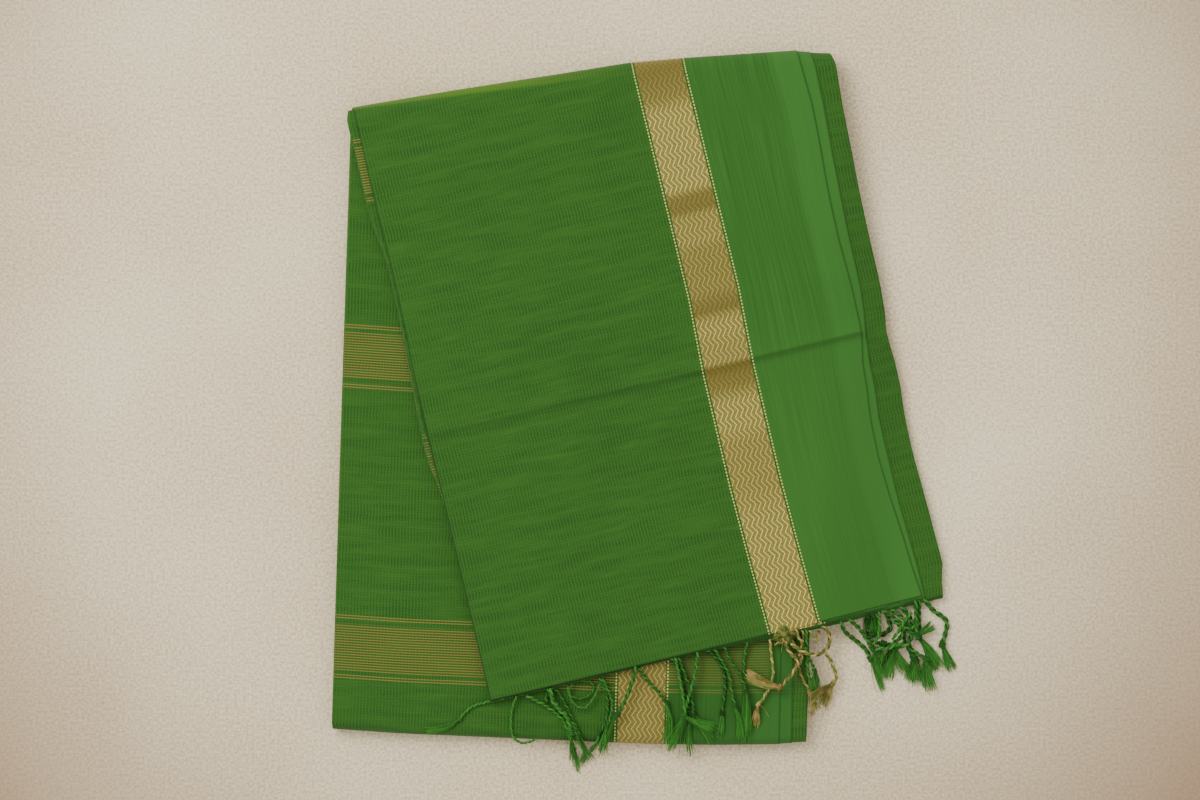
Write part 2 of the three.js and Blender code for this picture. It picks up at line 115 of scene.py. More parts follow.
# The same five edges where a pass of the pad is, at its bottom, middle and top
PAD_EDGES = np.array([
    (0, -0.6, -1.4, 1, 1.6, -0.2),
    (0.5, -1.2, -2, 0.4, 0.5, 0.6),
    (1, -1.1, -2.4, 0.4, -0.3, 1.5),
]).T


def unit(degrees):
    return np.array([math.cos(math.radians(degrees)), math.sin(math.radians(degrees))])


def left_of(direction):
    return np.array([-direction[1], direction[0]])


def steps(lengths, direction):
    return np.multiply.outer(lengths, direction)


def smooth(value, start, end):
    part = np.clip((value - start) / (end - start), 0, 1)
    return part * part * (3 - 2 * part)


pad_across = unit(-1.7)
pad_up = left_of(pad_across)
top_across = unit(7.36)
top_out = left_of(top_across)
flap_across = unit(13.4)
flap_down = -left_of(flap_across)


def bottom_line(across):
    up = BOTTOM_FOLD_INSET - np.interp(across, *BOTTOM_BOW)
    return steps(across, pad_across) + steps(up, pad_up)


def top_line(across):
    rise = np.interp(across, *TOP_BOW) - TOP_FOLD_INSET
    return PAD_LEFT_LENGTH * pad_up + steps(across, top_across) + steps(rise, top_out)


def end_line(across):
    return FLAP_CORNER + steps(across, flap_across)


def sag(place):
    past = place @ pad_across - WIDTH
    return FLAP_BOTTOM * smooth(past, SAG_START, SAG_START + SAG_LENGTH)


# The flap's sharp crease lies across it and drops at the right folds, and two soft ones lie nearby
CREASE_LINE = np.array([(0, 168), (276, 168.4), (282.5, 163.5), (292, 157)]).T
SOFT_CREASES = [(206, 0.5, 5), (47, 0.35, 6), (292, 0.3, 12)]
CREASE_HEIGHT = 1.7
CREASE_REACH_UP = 13
CREASE_REACH_DOWN = 7
WAVE_LENGTH = 61
WAVE_HEIGHT = 0.25
RIPPLE_HEIGHT = 0.12


def lift(across, up):
    crease_at = np.interp(across, *CREASE_LINE)
    past = up - crease_at
    reach_part = np.where(past > 0, past / CREASE_REACH_UP, -past / CREASE_REACH_DOWN)
    near = np.clip(1 - reach_part, 0, 1)
    height = CREASE_HEIGHT * (0.45 + 0.55 * smooth(across, 60, 170)) * near * near
    for at, rise, reach in SOFT_CREASES:
        fade = smooth(across, 60, 190)
        height = height + rise * fade * np.exp(-(((up - at) / reach) ** 2))
    wave = np.sin(up * 2 * math.pi / WAVE_LENGTH) * np.sin(across * math.pi / WIDTH)
    ripple = np.sin(up / 13 + across / 29) * np.sin(across / 17 - up / 41)
    return height + smooth(up, 0, WAVE_LENGTH) * (WAVE_HEIGHT * (1 + wave) + RIPPLE_HEIGHT * ripple)


# The strip's section from the upper selvedge to the lower one, as rows of layer, part of the way
# from the left fold to the layer's right end, which fold it goes round, and turn round that fold.
# Points lie closer where the left fold, the border's edges and the right end need them.
LEFT_ROUND = 1.5
WIDE_LEFT, RIGHT, NARROW_LEFT = -1, 1, -2
FINE_ENDS = np.array([0, 0.4, 1, 2, 4, 8, 14, 22, 32, 46, 62, 80, 100])
top_parts = np.concatenate([
    FINE_ENDS, np.linspace(120, 255, 24), [260, 264, 268, 271, 273, UPPER_SELVEDGE],
]) / UPPER_SELVEDGE
under_parts = np.concatenate([
    FINE_ENDS[::2], np.linspace(130, 270, 8), [278, 283, 287, 290, WIDTH],
]) / WIDTH
columns = [(0, part, 0, 0) for part in top_parts[::-1]]
columns += [(0, 0, WIDE_LEFT, turn) for turn in np.linspace(0, math.pi, 7)[1:-1]]
columns += [(3, part, 0, 0) for part in under_parts]
columns += [(3, 1, RIGHT, turn) for turn in np.linspace(0, math.pi, 5)[1:-1]]
columns += [(2, part, 0, 0) for part in under_parts[::-1]]
columns += [(2, 0, NARROW_LEFT, turn) for turn in np.linspace(0, math.pi, 5)[1:-1]]
columns += [(1, part, 0, 0) for part in under_parts]
layer, part, round_kind, turn = np.array(columns, float).T
# Half the change of layer round each fold
drop = np.select([round_kind == WIDE_LEFT, round_kind == RIGHT, round_kind == NARROW_LEFT],
                 [1.5, -0.5, -0.5], 0)
slot = layer + drop * (1 - np.cos(turn))
round_side = np.sign(round_kind)
# How far from the left folds their own unevenness reaches
LEAN_REACH = 40


def across_of(edges, layer_height, lean):
    """Distance across of each column, where the edges stand out as given, for each row."""
    left, under, upper, lower, right = (edge[:, None] for edge in edges)
    inset = LEFT_ROUND * layer_height
    end = np.where(layer == 0, UPPER_SELVEDGE + upper,
                   np.where(layer == 1, LOWER_SELVEDGE + lower, WIDTH + right - inset))
    flat = inset + part * (end - inset)
    across = flat + round_side * np.abs(drop) * layer_height * np.sin(turn)
    offset = left + (under - left) * lean
    return across + offset * np.clip(1 - across / LEAN_REACH, 0, 1)


# Distance along the weft from the upper selvedge, which the woven pattern follows. The border stays
# a fixed distance from the left fold, and the cloth past it takes up what the selvedge wavers.
BORDER_END = 210
# How much nearer to the left fold the border lies in the pad, and in the flap from its end up
BORDER_SHIFT = 1.7
BORDER_BOW = np.array([(0, -1.1), (50, 0.6), (92, 1.6), (165, 1.5), (213, -0.6), (355, 0.3)]).T


def across_woven(across, shift):
    return across + shift * smooth(across, 20, 150) * (1 - smooth(across, 215, 265))


def weft_of(across, edges):
    upper, lower, right = (edge[:, None] for edge in edges[2:])
    rest = UPPER_SELVEDGE - BORDER_END
    stretched = BORDER_END + (across - BORDER_END) * rest / (rest + upper)
    on_upper = UPPER_SELVEDGE - np.where(across > BORDER_END, stretched, across)
    on_bottom = UPPER_SELVEDGE + across * WIDTH / (WIDTH + right)
    on_third = UPPER_SELVEDGE + 2 * WIDTH - across * WIDTH / (WIDTH + right)
    on_lower = UPPER_SELVEDGE + 2 * WIDTH + across * LOWER_SELVEDGE / (LOWER_SELVEDGE + lower)
    return np.select([slot < 1e-6, round_kind == WIDE_LEFT, layer == 3, layer == 2],
                     [on_upper, UPPER_SELVEDGE + 0 * across, on_bottom, on_third], on_lower)


# How far each layer of the flap's top pass reaches past the top layer's cut end, and over which part
# of the pass that fades out
END_LAG = np.array([0, 1.5, 2.9, 4.1])
LAG_LENGTH = 0.03
end_lag = np.interp(slot, [0, 1, 2, 3], END_LAG)


def flap_rows(index, parts, faces_up):
    """Rows of a flap pass from the cut end (part 0) to the top fold (part 1), index 0 on top."""
    edges = [np.interp(parts * FLAP_LENGTH, FLAP_EDGES[0], row) for row in FLAP_EDGES[1:]]
    across = across_of(edges, FLAP_LAYER, 0 if index == 0 else 0.85 + 0.15 * index)
    foot, head = end_line(across), top_line(across)
    up = parts[:, None] * np.linalg.norm(head - foot, axis=-1)
    place = foot + (head - foot) * parts[:, None, None]
    if index == 0:
        lag = end_lag * (0.2 + 0.8 * smooth(across, 90, 230))
        near_end = 1 - smooth(parts, 0, LAG_LENGTH)
        place = place + (near_end[:, None] * lag)[..., None] * flap_down
    depth = (4 * index + (slot if faces_up else 3 - slot) + 0.5) * FLAP_LAYER
    height = FLAP_BOTTOM + FLAP_THICKNESS - depth - sag(place) + lift(across, up)
    shift = np.interp(up, *BORDER_BOW)
    return place, height, weft_of(across_woven(across, shift), edges), up


def pad_rows(index, parts, faces_up):
    """Rows of a pad pass from the bottom fold (part 0) to the top fold (part 1), index 0 on top."""
    wobble = 0.35 * math.sin(2.3 * index)
    edges = [np.interp(parts, PAD_EDGES[0], row) + wobble for row in PAD_EDGES[1:]]
    across = across_of(edges, PAD_LAYER, index / (PAD_PASSES - 1))
    foot, head = bottom_line(across), top_line(across)
    place = foot + (head - foot) * parts[:, None, None]
    depth = (4 * index + (slot if faces_up else 3 - slot) + 0.5) * PAD_LAYER
    up = parts[:, None] * np.linalg.norm(head - foot, axis=-1)
    weft = weft_of(across_woven(across, BORDER_SHIFT), edges)
    return place, PAD_TOP - depth + 0 * across, weft, up


# The strip's way through its passes, with the distance along the warp where each starts and, where
# a hidden pass takes up a difference, where it ends. The woven bands repeat every BAND_PERIOD.
FLAP_TOP_PARTS = np.concatenate([
    [0, 0.004, 0.01, 0.02, 0.035], np.linspace(0.05, 0.41, 26), np.linspace(0.416, 0.5, 34),
    np.linspace(0.515, 0.97, 30), [0.985, 1],
])
PAD_TOP_PARTS = np.concatenate([np.linspace(0, 0.1, 8), np.linspace(0.12, 0.97, 34), [0.985, 1]])
UNDER_PARTS = np.concatenate([[0, 0.02], np.linspace(0.08, 0.95, 22), [0.98, 1]])
HIDDEN_PARTS = np.array([0, 0.03, 0.2, 0.4, 0.6, 0.8, 0.97, 1])
BAND_PERIOD = 179.8
PAD_WARP = 5 * BAND_PERIOD - 45.8
FLAP_WARP = 12 * BAND_PERIOD - 29.7
PATH = [
    (flap_rows, 0, FLAP_TOP_PARTS, 0, None),
    (pad_rows, 9, HIDDEN_PARTS, 395, PAD_WARP - 19),
    (pad_rows, 0, PAD_TOP_PARTS, PAD_WARP, None),
    (pad_rows, 1, HIDDEN_PARTS, PAD_WARP + 390, None),
    (pad_rows, 8, HIDDEN_PARTS, PAD_WARP + 800, FLAP_WARP - 26),
    (flap_rows, 1, UNDER_PARTS, FLAP_WARP, FLAP_WARP + 352),
    (flap_rows, 2, UNDER_PARTS, FLAP_WARP + 365, None),
    (pad_rows, 7, HIDDEN_PARTS, FLAP_WARP + 745, None),
    (pad_rows, 2, HIDDEN_PARTS, FLAP_WARP + 1150, None),
    (pad_rows, 3, HIDDEN_PARTS, FLAP_WARP + 1540, None),
    (pad_rows, 4, HIDDEN_PARTS, FLAP_WARP + 1935, None),
    (pad_rows, 5, HIDDEN_PARTS, FLAP_WARP + 2325, None),
    (pad_rows, 6, HIDDEN_PARTS, FLAP_WARP + 2715, None),
]
FOLD_STEPS = 12


def fold_rows(before, after, outward):
    """Rows round a fold, from the last row of one pass to the first row of the next."""
    angles = np.linspace(0, math.pi, FOLD_STEPS + 1)[1:-1, None]
    place_a, height_a, weft_a, warp_a = (values[-1] for values in before)
    place_b, height_b, weft_b, warp_b = (values[0] for values in after)
    mixing = angles / math.pi
    half = (height_a - height_b) / 2
    reach = np.abs(half) * np.sin(angles)
    place = place_a + (place_b - place_a) * mixing[..., None] + reach[..., None] * outward
    height = (height_a + height_b) / 2 + half * np.cos(angles)
    return place, height, weft_a + (weft_b - weft_a) * mixing, warp_a + (warp_b - warp_a) * mixing


# The strip goes up the bundle on every other pass, and then its upper selvedge's layer is on top
blocks = []
for step, (rows_of, index, parts, warp_from, warp_to) in enumerate(PATH):
    goes_up = step % 2 == 0
    place, height, weft, up = rows_of(index, parts, goes_up)
    if not goes_up:
        place, height, weft, up = place[::-1], height[::-1], weft[::-1], (up[-1] - up)[::-1]
    warp = warp_from + up if warp_to is None else warp_from + up / up[-1] * (warp_to - warp_from)
    rows = (place, height, weft, warp)
    if blocks:
        bottom = flap_down if rows_of is flap_rows else -pad_up
        blocks.append(fold_rows(blocks[-1], rows, bottom if goes_up else top_out))
    blocks.append(rows)
place, height, weft, warp = (np.concatenate(values) for values in zip(*blocks))

row_count, column_count = height.shape
vertices = np.dstack([place + PLAN_ORIGIN, height]).reshape(-1, 3) / MM_PER_M
corner = np.arange((row_count - 1) * column_count).reshape(row_count - 1, column_count)[:, :-1]
corner = corner.reshape(-1)
faces = np.stack([corner, corner + 1, corner + column_count + 1, corner + column_count], axis=1)
cloth_mesh = bpy.data.meshes.new("sari_cloth_sheet")
cloth_mesh.from_pydata(vertices.tolist(), [], faces.tolist())
thread_map = cloth_mesh.uv_layers.new(name="threads")
threads = np.stack([weft.reshape(-1), warp.reshape(-1)], axis=1) / MM_PER_M
thread_map.data.foreach_set("uv", threads[faces.reshape(-1)].astype(np.float32).reshape(-1))
cloth_mesh.polygons.foreach_set("use_smooth", [True] * len(cloth_mesh.polygons))
cloth_mesh.update()
cloth = bpy.data.objects.new("sari_cloth_sheet", cloth_mesh)
scene.collection.objects.link(cloth)


def linear(hex_colour):
    """An sRGB hex colour as linear values with alpha."""
    parts = [int(hex_colour[i:i + 2], 16) / 255 for i in (1, 3, 5)]
    return [p / 12.92 if p <= 0.04045 else ((p + 0.055) / 1.055) ** 2.4 for p in parts] + [1]


def add_node(material, kind, inputs=None, **settings):
    """Adds a shader node with its settings, and sets or links its inputs. Gives its outputs."""
    made = material.node_tree.nodes.new("ShaderNode" + kind)
    for name, value in settings.items():
        setattr(made, name, value)
    for name, value in (inputs or {}).items():
        if isinstance(value, bpy.types.NodeSocket):
            material.node_tree.links.new(value, made.inputs[name])
        else:
            made.inputs[name].default_value = value
    return made.outputs


def calc(material, operation, *values, **settings):
    """What a Math node gives for up to three values."""
    return add_node(material, "Math", dict(enumerate(values)), operation=operation, **settings)[0]


def ranged(material, value, start, end, low=0, high=1, **settings):
    """A value between start and end, moved to between low and high, and held there past them."""
    inputs = {0: value, 1: start, 2: end, 3: low, 4: high}
    return add_node(material, "MapRange", inputs, **settings)[0]


def mixed(material, amount, first, second):
    """The first colour with an amount of the second. Each is a hex string or a node's output."""
    first, second = (linear(c) if isinstance(c, str) else c for c in (first, second))
    return add_node(material, "Mix", {0: amount, 6: first, 7: second}, data_type="RGBA")[2]


def noise(material, place, scale, detail, roughness=0.5):
    """Soft noise at a place, around 0.5."""
    inputs = {"Vector": place, "Scale": scale, "Detail": detail, "Roughness": roughness}
    return add_node(material, "TexNoise", inputs)[0]


# Fine combed cotton, plain woven: matt, soft and a little uneven, with thin slubs across it. The
# ticks and wavy bars are how its threads show through each other. What is drawn follows the
# threads: the distance across from the upper selvedge, and along from the tasselled end.
cotton = bpy.data.materials.new("woven_cotton_and_zari")
cotton.use_nodes = True
cotton.node_tree.nodes.clear()
thread_uv = add_node(cotton, "UVMap", uv_map="threads")["UV"]
to_mm = {0: thread_uv, 1: (MM_PER_M, MM_PER_M, 0)}
in_mm = add_node(cotton, "VectorMath", to_mm, operation="MULTIPLY")[0]
weft_mm, warp_mm = add_node(cotton, "SeparateXYZ", {0: in_mm})[:2]
# The distance from the nearer selvedge
far_mm = calc(cotton, "SUBTRACT", CLOTH_WIDTH, weft_mm)
edge_mm = calc(cotton, "MINIMUM", weft_mm, far_mm)


def thread_noise(across, along, detail, roughness=0.5):
    """Soft noise in the cloth, in patches about this many millimetres across and along it."""
    scales = (1 / across, 1 / along, 0)
    place = add_node(cotton, "VectorMath", {0: in_mm, 1: scales}, operation="MULTIPLY")[0]
    return noise(cotton, place, 1, detail, roughness)


def distance_from(value, middle):
    difference = calc(cotton, "SUBTRACT", value, middle)
    return calc(cotton, "ABSOLUTE", difference)


TICK_SPACING = 2.0
PICK_SPACING = 1.7
DRIFT_TURN = 6.0
ROW_TURN = 4.2
PICK_SHADE = 0.1
CLOUD_SHADE = 0.3
drift = thread_noise(60, 70, 2)
row = thread_noise(46, 3.6, 1)
tick_turn = calc(cotton, "MULTIPLY", row, ROW_TURN)
tick_turn = calc(cotton, "MULTIPLY_ADD", drift, DRIFT_TURN, tick_turn)
tick_phase = calc(cotton, "MULTIPLY_ADD", weft_mm, 2 * math.pi / TICK_SPACING, tick_turn)
tick = calc(cotton, "SINE", tick_phase)
bar = thread_noise(36, 5.2, 4, 0.6)
tick_depth = ranged(cotton, bar, 0.38, 0.58, 0.07, 0.42, interpolation_type="SMOOTHSTEP")
ticks = calc(cotton, "MULTIPLY", tick, tick_depth)
bars = ranged(cotton, bar, 0.3, 0.7, 0.78, 0.22)
body_shade = calc(cotton, "ADD", ticks, bars)
slub = thread_noise(30, 2.1, 2)
slub = ranged(cotton, slub, 0.54, 0.74, 0, 0.18)
body_shade = calc(cotton, "ADD", body_shade, slub)
pick_phase = calc(cotton, "MULTIPLY_ADD", warp_mm, 2 * math.pi / PICK_SPACING, tick_turn)
pick = calc(cotton, "SINE", pick_phase)
body_shade = calc(cotton, "MULTIPLY_ADD", pick, PICK_SHADE, body_shade)
fibre = thread_noise(0.9, 0.6, 1)
fibre = ranged(cotton, fibre, 0.3, 0.7, -0.26, 0.26)
body_shade = calc(cotton, "ADD", body_shade, fibre)
cloud = thread_noise(70, 55, 2)
body_shade = calc(cotton, "MULTIPLY_ADD", cloud, CLOUD_SHADE, body_shade)
body_shade = calc(cotton, "SUBTRACT", body_shade, CLOUD_SHADE / 2)
body_colour = mixed(cotton, body_shade, "#225017", "#376922")

# Towards each selvedge the cloth is woven closer and lighter, with lengthwise streaks, and the last
# 16 mm are lighter still, down to a dark line by the selvedge itself. Inside the pad its green is
# painted deeper, as painted shade from the flap lying over it.
BORDER_START = 66.5
BORDER_WIDTH = 33
FLAP_PASS_END = 380
PAD_START = (600, 620)
streak = thread_noise(0.9, 80, 3)
streak = ranged(cotton, streak, 0.24, 0.76)
side_colour = mixed(cotton, streak, "#26591c", "#397129")
low_down = ranged(cotton, warp_mm, 230, 90, 0, 0.6)
side_colour = mixed(cotton, low_down, side_colour, "#387129")
in_strip = ranged(cotton, edge_mm, 20, 13, 0, 0.7, interpolation_type="SMOOTHSTEP")
side_colour = mixed(cotton, in_strip, side_colour, "#3a742d")
# Painted shade: the cloth inside the pad is drawn a deeper green for the flap's shade over it
pad_painted_shade = ranged(cotton, warp_mm, *PAD_START, 0, 0.3)
side_colour = mixed(cotton, pad_painted_shade, side_colour, "#1c4a18")
at_selvedge = ranged(cotton, edge_mm, 1.1, 0.4, 0, 0.6)
side_colour = mixed(cotton, at_selvedge, side_colour, "#1c4114")
in_side = ranged(cotton, edge_mm, BORDER_START + 1, BORDER_START)
green = mixed(cotton, in_side, body_colour, side_colour)

# Painted shade: where shade falls, the cut end's last threads, the flap's pressed crease and its
# wide left fold's edge are painted darker
CREASE_WARP = 167.3
from_fold = distance_from(weft_mm, UPPER_SELVEDGE + 0.4)
fold_edge_painted_shade = ranged(cotton, from_fold, 2, 0.8, 0, 0.75)
cut_end_painted_shade = ranged(cotton, warp_mm, 1.1, 0.5, 0, 0.6)
from_crease = calc(cotton, "SUBTRACT", warp_mm, CREASE_WARP)
above_crease = ranged(cotton, from_crease, 0.2, 1.4, 1, 0)
below_crease = ranged(cotton, from_crease, -5, -0.2, 0, 0.3, interpolation_type="SMOOTHERSTEP")
crease_painted_shade = calc(cotton, "MULTIPLY", above_crease, below_crease)
to_right = ranged(cotton, weft_mm, 274, 110, 0.45, 1)
crease_painted_shade = calc(cotton, "MULTIPLY", crease_painted_shade, to_right)
on_top = ranged(cotton, weft_mm, 275, 273)
crease_painted_shade = calc(cotton, "MULTIPLY", crease_painted_shade, on_top)
painted_shade_lines = calc(cotton, "MAXIMUM", fold_edge_painted_shade, cut_end_painted_shade)
painted_shade_lines = calc(cotton, "MAXIMUM", painted_shade_lines, crease_painted_shade)
in_flap = ranged(cotton, warp_mm, FLAP_PASS_END + 5, FLAP_PASS_END)
painted_shade_lines = calc(cotton, "MULTIPLY", painted_shade_lines, in_flap)
green = mixed(cotton, painted_shade_lines, green, "#12350d")

# The top fold, aslant to the threads, has a painted highlight: a paler, yellower green along its
# left half
TOP_FOLD_SLANT = 0.105
TOP_FOLD_WARP = (345.2, 347.8)
along_fold = calc(cotton, "MULTIPLY_ADD", weft_mm, -TOP_FOLD_SLANT, warp_mm)
top_fold_painted_highlight = ranged(cotton, along_fold, *TOP_FOLD_WARP, 0, 0.6)
left_half = ranged(cotton, weft_mm, 100, 190)
top_fold_painted_highlight = calc(cotton, "MULTIPLY", top_fold_painted_highlight, left_half)
first_fold = ranged(cotton, warp_mm, 396, 394)
top_fold_painted_highlight = calc(cotton, "MULTIPLY", top_fold_painted_highlight, first_fold)
green = mixed(cotton, top_fold_painted_highlight, green, "#59801e")

# Zari: thin gilt metal wound on thread. It makes weft bands all across the cloth: eighteen lines
# between two pairs of lines, every 180 mm, but not near the tasselled end. The bands are weaker
# outside the border, and fade out on the layers that don't show.
LINE_SPACING = 1.6
BAND_MIDDLE_HALF = 14.6
BAND_PAIR_AT = 18.2
BAND_PAIR_HALF = 1.7
from_band = calc(cotton, "PINGPONG", warp_mm, BAND_PERIOD / 2)
line_turn = calc(cotton, "PINGPONG", warp_mm, LINE_SPACING / 2)
line = ranged(cotton, line_turn, 0.06, 0.36, 1, 0)
in_middle = ranged(cotton, from_band, BAND_MIDDLE_HALF, BAND_MIDDLE_HALF - 0.4)
to_pair = distance_from(from_band, BAND_PAIR_AT)
in_pair = ranged(cotton, to_pair, BAND_PAIR_HALF, BAND_PAIR_HALF - 0.2)
inside_edge = ranged(cotton, edge_mm, 6.5, 7.5)
in_middle = calc(cotton, "MULTIPLY", in_middle, inside_edge)
in_band = calc(cotton, "MAXIMUM", in_middle, in_pair)
past_end = ranged(cotton, warp_mm, *PAD_START)
in_band = calc(cotton, "MULTIPLY", in_band, past_end)
band_line = calc(cotton, "MULTIPLY", in_band, line)
glint = thread_noise(1.1, 1.6, 1)
band_colour = mixed(cotton, glint, "#7e5825", "#ad944b")
band_shade = ranged(cotton, weft_mm, 66, 60, 0.28, 0.5)
band_shade = calc(cotton, "MULTIPLY", in_middle, band_shade)
band_shade = calc(cotton, "MULTIPLY", band_shade, past_end)
green = mixed(cotton, band_shade, green, "#375818")
on_side = ranged(cotton, weft_mm, 60, 66, 0.42, 0.9)
past_fold = ranged(cotton, weft_mm, 480, 520, 1, 0.1)
band_depth = calc(cotton, "MULTIPLY", on_side, past_fold)
band_cover = calc(cotton, "MULTIPLY", band_line, band_depth)
# The band that peeks out from under the flap's left fold shows only in broken flecks
UNDER_BAND = 13 * BAND_PERIOD
from_under = distance_from(warp_mm, UNDER_BAND)
in_under = ranged(cotton, from_under, 32, 28)
broken = thread_noise(3, 2.6, 1)
broken = ranged(cotton, broken, 0.42, 0.58, 0.75, 0)
broken = calc(cotton, "MULTIPLY", broken, in_under)
unbroken = calc(cotton, "SUBTRACT", 1, broken)
band_cover = calc(cotton, "MULTIPLY", band_cover, unbroken)
green = mixed(cotton, band_cover, green, band_colour)

# The border, 33 mm wide and 66 mm in from each selvedge: pale gilt zigzag lines on a gilt and green
# ground, with a dotted line along each side past a thin green gap
ZIGZAG_SPACING = 3.2
ZIGZAG_LENGTH = 8.4
ZIGZAG_SWING = 2.9
ZIGZAG_COVER = 0.9
in_border_mm = calc(cotton, "SUBTRACT", edge_mm, BORDER_START)
swing = calc(cotton, "PINGPONG", warp_mm, ZIGZAG_LENGTH / 2)
bent = calc(cotton, "MULTIPLY_ADD", swing, 2 * ZIGZAG_SWING / ZIGZAG_LENGTH, in_border_mm)
from_line = calc(cotton, "PINGPONG", bent, ZIGZAG_SPACING / 2)
zigzag = ranged(cotton, from_line, 0.06, 0.4, 1, 0)

# How brightly the gilt catches the light along the flap, from its cut end up
GILT_LIGHT = [
    (0, 1.0), (70, 0.95), (90, 0.6), (118, 0.6), (130, 0.95), (144, 0.9), (154, 0.2),
    (166.5, 0.0), (169, 0.5), (180, 0.65), (190, 0.9), (196, 0.75), (202, 0.1), (209, 0.2),
    (215, 0.4), (240, 0.4), (246, 0.7), (261, 0.6), (265, 0.1), (274, 0.15), (279, 0.95),
    (326, 0.95), (336, 0.3), (355, 0.05), (380, 0.5),
]
gilt_part = calc(cotton, "DIVIDE", warp_mm, FLAP_PASS_END)
gilt_ramp = cotton.node_tree.nodes.new("ShaderNodeValToRGB")
cotton.node_tree.links.new(gilt_part, gilt_ramp.inputs[0])
stops = gilt_ramp.color_ramp.elements
stops[0].position, stops[1].position = 0, 1
for at, light in GILT_LIGHT[1:-1]:
    stops.new(at / FLAP_PASS_END)
for stop, (at, light) in zip(stops, GILT_LIGHT):
    stop.color = (light, light, light, 1)
bright = gilt_ramp.outputs[0]
grain = thread_noise(0.75, 0.8, 1)
grain = ranged(cotton, grain, 0.35, 0.65)
dull_ground = mixed(cotton, grain, "#4b5c1c", "#755f22")
lit_ground = mixed(cotton, grain, "#5e7027", "#a58d43")
border_ground = mixed(cotton, bright, dull_ground, lit_ground)
line_colour = mixed(cotton, bright, "#89662b", "#ffeda0")
zigzag_cover = calc(cotton, "MULTIPLY", zigzag, ZIGZAG_COVER)
border_colour = mixed(cotton, zigzag_cover, border_ground, line_colour)

# The dots stand just inside the border's sides, and the zigzags end a little further in
DOT_SPACING = 2.1
DOT_INSET = 0.6
DOT_ACROSS = 0.45
DOT_ALONG = 0.7
ZIGZAG_INSET = 1.9
HALF_BORDER = BORDER_WIDTH / 2
from_middle = distance_from(edge_mm, BORDER_START + HALF_BORDER)
in_border = ranged(
    cotton, from_middle, HALF_BORDER - ZIGZAG_INSET, HALF_BORDER - ZIGZAG_INSET - 0.3,
)
from_dots = calc(cotton, "SUBTRACT", from_middle, HALF_BORDER - DOT_INSET)
from_dots = calc(cotton, "MULTIPLY", from_dots, 1 / DOT_ACROSS)
dot_turn = calc(cotton, "PINGPONG", warp_mm, DOT_SPACING / 2)
dot_turn = calc(cotton, "MULTIPLY", dot_turn, 1 / DOT_ALONG)
dot_place = add_node(cotton, "CombineXYZ", {0: from_dots, 1: dot_turn})[0]
dot_far = add_node(cotton, "VectorMath", {0: dot_place}, operation="LENGTH")[1]
dots = ranged(cotton, dot_far, 1.15, 0.75)
surface = mixed(cotton, in_border, green, border_colour)
surface = mixed(cotton, dots, surface, "#cfcd78")

# Gilt thread is smoother than cotton, and a little metallic
gilt = calc(cotton, "MAXIMUM", in_border, band_line)
gilt = calc(cotton, "MAXIMUM", gilt, dots)
rough = ranged(cotton, gilt, 0, 1, 0.9, 0.5)
metal = calc(cotton, "MULTIPLY", gilt, 0.12)
raised = calc(cotton, "MULTIPLY", zigzag, in_border)
raised = calc(cotton, "ADD", ticks, raised)
relief = add_node(cotton, "Bump", {"Height": raised, "Strength": 0.25, "Distance": 0.0002})[0]
cotton_surface = add_node(cotton, "BsdfPrincipled", {
    "Base Color": surface, "Roughness": rough, "Metallic": metal, "Normal": relief,
    "Sheen Weight": 0.08, "Sheen Roughness": 0.5, "Specular IOR Level": 0.25,
})[0]
add_node(cotton, "OutputMaterial", {"Surface": cotton_surface})
cloth_mesh.materials.append(cotton)

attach(cloth, "root")
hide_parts("sari_cloth")

